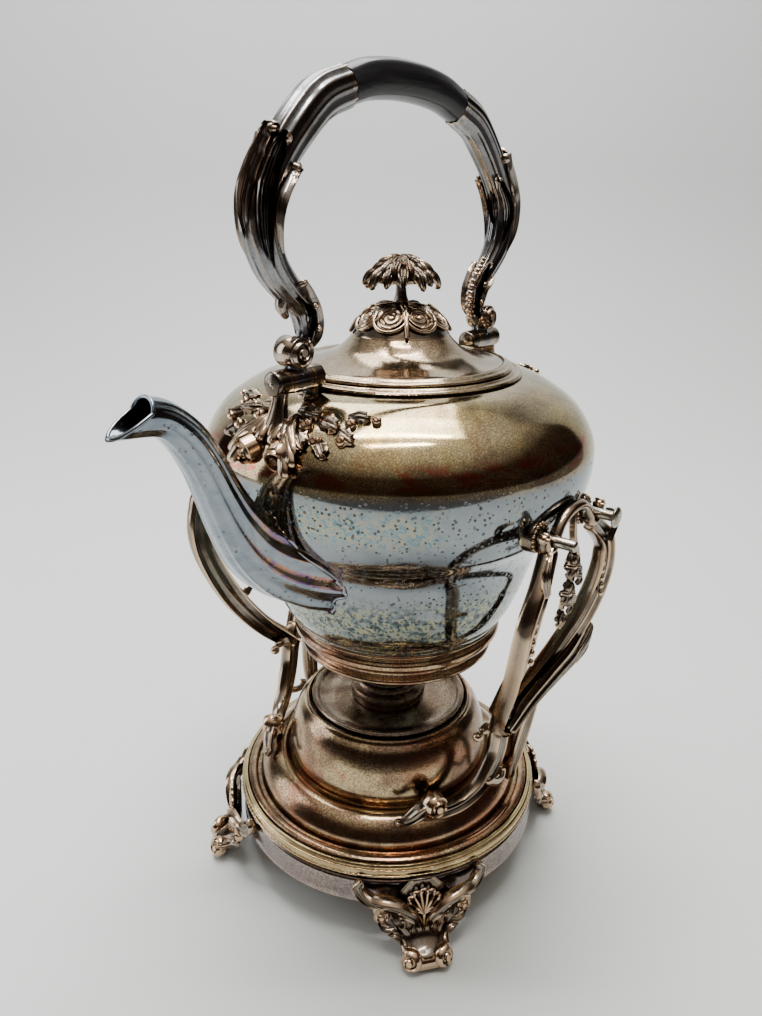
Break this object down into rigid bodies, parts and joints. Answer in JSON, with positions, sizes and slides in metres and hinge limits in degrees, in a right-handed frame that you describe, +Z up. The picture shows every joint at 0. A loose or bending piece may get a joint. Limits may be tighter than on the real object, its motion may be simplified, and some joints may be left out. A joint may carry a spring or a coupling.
{
  "type": "spirit kettle on stand",
  "caption": "Footed stand with a spirit lamp under a tilting round kettle that has a curved spout, a swinging bail handle with a dark grip and a lift-off domed lid.",
  "frame": {"origin": "on the table, under the centre of the bounding box", "axes": "+Z up, the spout points along -X, the two trunnion lines run along Y"},
  "size_m": [0.2509, 0.2128, 0.3996],
  "materials": {
    "plated_silver": "silver plate, tarnished, polished where it is rubbed",
    "plated_castings": "cast ornament, silver plated, dark in its recesses",
    "ebonised_grip": "black ebonised wood, glossy",
    "burner_metal": "sooted brass",
    "wick_cotton": "woven cotton wick"
  },
  "bodies": {
    "stand": {"base_shell": "plated_silver", "base_bead_ring": "plated_silver", "foot_1": "plated_castings", "foot_2": "plated_castings", "foot_3": "plated_castings", "foot_4": "plated_castings", "support_right": "plated_castings", "support_left": "plated_castings", "support_flower_right": "plated_castings", "support_flower_left": "plated_castings"},
    "kettle": {"kettle_body": "plated_silver", "kettle_foot_ring": "plated_silver", "lid_bezel": "plated_silver", "spout": "plated_silver", "trunnion_front_right": "plated_silver", "trunnion_boss_front_right": "plated_silver", "trunnion_rear_right": "plated_silver", "trunnion_boss_rear_right": "plated_silver", "trunnion_front_left": "plated_silver", "trunnion_boss_front_left": "plated_silver", "trunnion_rear_left": "plated_silver", "trunnion_boss_rear_left": "plated_silver", "handle_mount_front": "plated_castings", "handle_mount_rear": "plated_castings", "hinge_pin_front": "plated_silver", "hinge_pin_rear": "plated_silver"},
    "handle": {"handle_arm_front": "plated_castings", "handle_arm_rear": "plated_castings", "handle_grip": "ebonised_grip", "grip_rivet_front": "plated_silver", "grip_rivet_rear": "plated_silver"},
    "lid": {"lid_dome": "plated_silver", "lid_collar": "plated_castings", "lid_finial": "plated_castings", "finial_nut": "plated_silver"},
    "lamp": {"lamp_reservoir": "plated_silver", "lamp_neck": "plated_silver"},
    "burner": {"burner_head": "burner_metal", "wick": "wick_cotton"}
  },
  "joints": [
    {"name": "kettle_tilt", "type": "hinge", "parent": "stand", "child": "kettle", "pos_m": [0.01, -0.0004, 0.217], "axis": [0, -1, 0], "range_deg": [0, 50]},
    {"name": "handle_swing", "type": "hinge", "parent": "kettle", "child": "handle", "pos_m": [0.0305, -0.0004, 0.278], "axis": [1, 0, 0], "range_deg": [-75, 75]},
    {"name": "lid_lift", "type": "slide", "parent": "kettle", "child": "lid", "axis": [0, 0, 1], "range_m": [0, 0.045]},
    {"name": "lamp_lift", "type": "slide", "parent": "stand", "child": "lamp", "axis": [0, 0, 1], "range_m": [0, 0.02]},
    {"name": "burner_lift", "type": "slide", "parent": "lamp", "child": "burner", "axis": [0, 0, 1], "range_m": [0, 0.009]}
  ]
}
